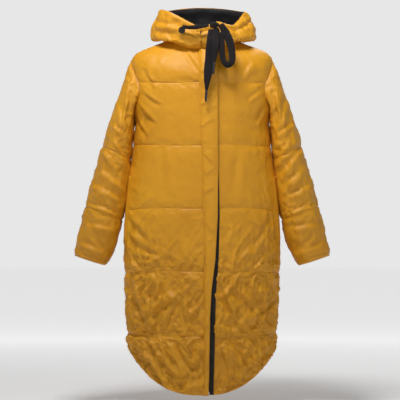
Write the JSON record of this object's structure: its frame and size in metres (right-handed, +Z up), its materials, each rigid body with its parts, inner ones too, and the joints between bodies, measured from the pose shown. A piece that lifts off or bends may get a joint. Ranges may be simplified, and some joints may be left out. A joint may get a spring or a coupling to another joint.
{
  "type": "hooded quilted coat",
  "caption": "Long hooded padded coat with quilted body and sleeves, a concealed front zip under a storm flap, and a drawcord at the hood's throat.",
  "frame": {"origin": "middle of the neck opening, level with the seam where the hood joins the body; shoulders or a hanger carry the coat there", "axes": "+Z up, -Y the front of the coat, +X the wearer's left"},
  "size_m": [0.7702, 0.3562, 1.1583],
  "materials": {
    "shell_cloth": "mustard woven nylon, slight sheen",
    "flap_cloth": "mustard woven nylon, slight sheen",
    "lining_cloth": "black taffeta",
    "wadding": "white fibre",
    "tape": "black woven tape",
    "cord_cotton": "black flat cotton cord",
    "tip_plastic": "black moulded tip",
    "label_cloth": "blank woven label",
    "slider_metal": "dark plated",
    "black_metal": "black"
  },
  "bodies": {
    "coat_body": {"front_left_shell": "shell_cloth", "front_left_wadding": "wadding", "front_left_lining": "lining_cloth", "front_right_shell": "shell_cloth", "front_right_wadding": "wadding", "front_right_lining": "lining_cloth", "back_shell": "shell_cloth", "back_wadding": "wadding", "back_lining": "lining_cloth", "facing_left": "lining_cloth", "facing_right": "lining_cloth", "zip_tape_left": "tape", "zip_tape_right": "tape", "zip_teeth_left": "black_metal", "zip_teeth_right": "black_metal", "zip_bottom_box": "black_metal", "storm_flap_top_shell": "flap_cloth", "storm_flap_top_wadding": "wadding", "storm_flap_top_lining": "lining_cloth", "pocket_welt_left": "shell_cloth", "pocket_bag_left": "lining_cloth", "pocket_welt_right": "shell_cloth", "pocket_bag_right": "lining_cloth", "hood_roll_shell": "shell_cloth", "hood_roll_wadding": "wadding", "hood_roll_lining": "lining_cloth", "eyelet_left": "black_metal", "eyelet_right": "black_metal", "cord_knot": "cord_cotton", "cord_bridge": "cord_cotton", "cord_long_end": "cord_cotton", "cord_short_end": "cord_cotton", "cord_loop": "cord_cotton", "cord_tip_long": "tip_plastic", "cord_tip_short": "tip_plastic", "hanger_loop": "tape", "neck_label": "label_cloth"},
    "slider": {"zip_slider": "slider_metal", "zip_puller": "slider_metal"},
    "storm_flap": {"storm_flap_shell": "flap_cloth", "storm_flap_wadding": "wadding", "storm_flap_lining": "lining_cloth"},
    "hood_bag": {"hood_bag_shell": "shell_cloth", "hood_bag_wadding": "wadding", "hood_bag_lining": "lining_cloth"},
    "sleeve_left": {"sleeve_left_shell": "shell_cloth", "sleeve_left_wadding": "wadding", "sleeve_left_lining": "lining_cloth", "cuff_facing_left": "lining_cloth"},
    "sleeve_right": {"sleeve_right_shell": "shell_cloth", "sleeve_right_wadding": "wadding", "sleeve_right_lining": "lining_cloth", "cuff_facing_right": "lining_cloth"}
  },
  "joints": [
    {"name": "zip_slide", "type": "slide", "parent": "coat_body", "child": "slider", "axis": [0, -0.0663, -0.9978], "range_m": [0, 0.54]},
    {"name": "storm_flap_open", "type": "hinge", "parent": "coat_body", "child": "storm_flap", "pos_m": [-0.008, -0.1345, -0.226], "axis": [0, -0.0499, -0.9988], "range_deg": [0, 100]},
    {"name": "hood_raise", "type": "hinge", "parent": "coat_body", "child": "hood_bag", "pos_m": [0, 0.096, 0.046], "axis": [1, 0, 0], "range_deg": [0, 100]},
    {"name": "sleeve_left_lift", "type": "hinge", "parent": "coat_body", "child": "sleeve_left", "pos_m": [0.2041, 0, -0.05], "axis": [0, -1, 0], "range_deg": [0, 60]},
    {"name": "sleeve_right_lift", "type": "hinge", "parent": "coat_body", "child": "sleeve_right", "pos_m": [-0.2041, 0, -0.05], "axis": [0, 1, 0], "range_deg": [0, 60]}
  ]
}
